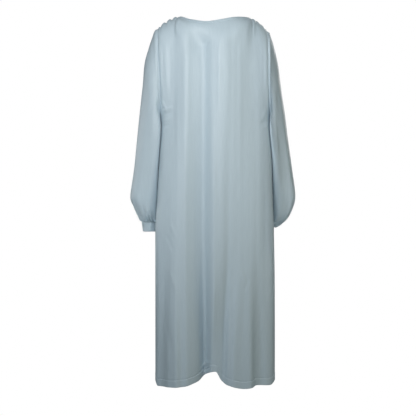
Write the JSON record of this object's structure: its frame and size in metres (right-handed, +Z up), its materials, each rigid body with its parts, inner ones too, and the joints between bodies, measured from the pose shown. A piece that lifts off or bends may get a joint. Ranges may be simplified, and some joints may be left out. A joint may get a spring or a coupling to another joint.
{
  "type": "filled-out prayer dress held up by its wearer",
  "caption": "Long loose satin prayer dress with bishop sleeves gathered to cuffs, filled out hollow as if worn, open at neck, hem and cuffs.",
  "frame": {"origin": "midway between the two neck points, at the height where the wearer's shoulders carry the dress", "axes": "+Z up along the dress, -Y out of the back panel, -X to the wearer's left"},
  "size_m": [0.6114, 0.3391, 1.3339],
  "materials": {
    "satin": "pale ice-blue polyester satin with a soft sheen"
  },
  "bodies": {
    "root": {"back_panel": "satin", "front_panel": "satin", "left_sleeve": "satin", "right_sleeve": "satin", "left_cuff": "satin", "right_cuff": "satin", "neck_binding": "satin"}
  },
  "joints": []
}
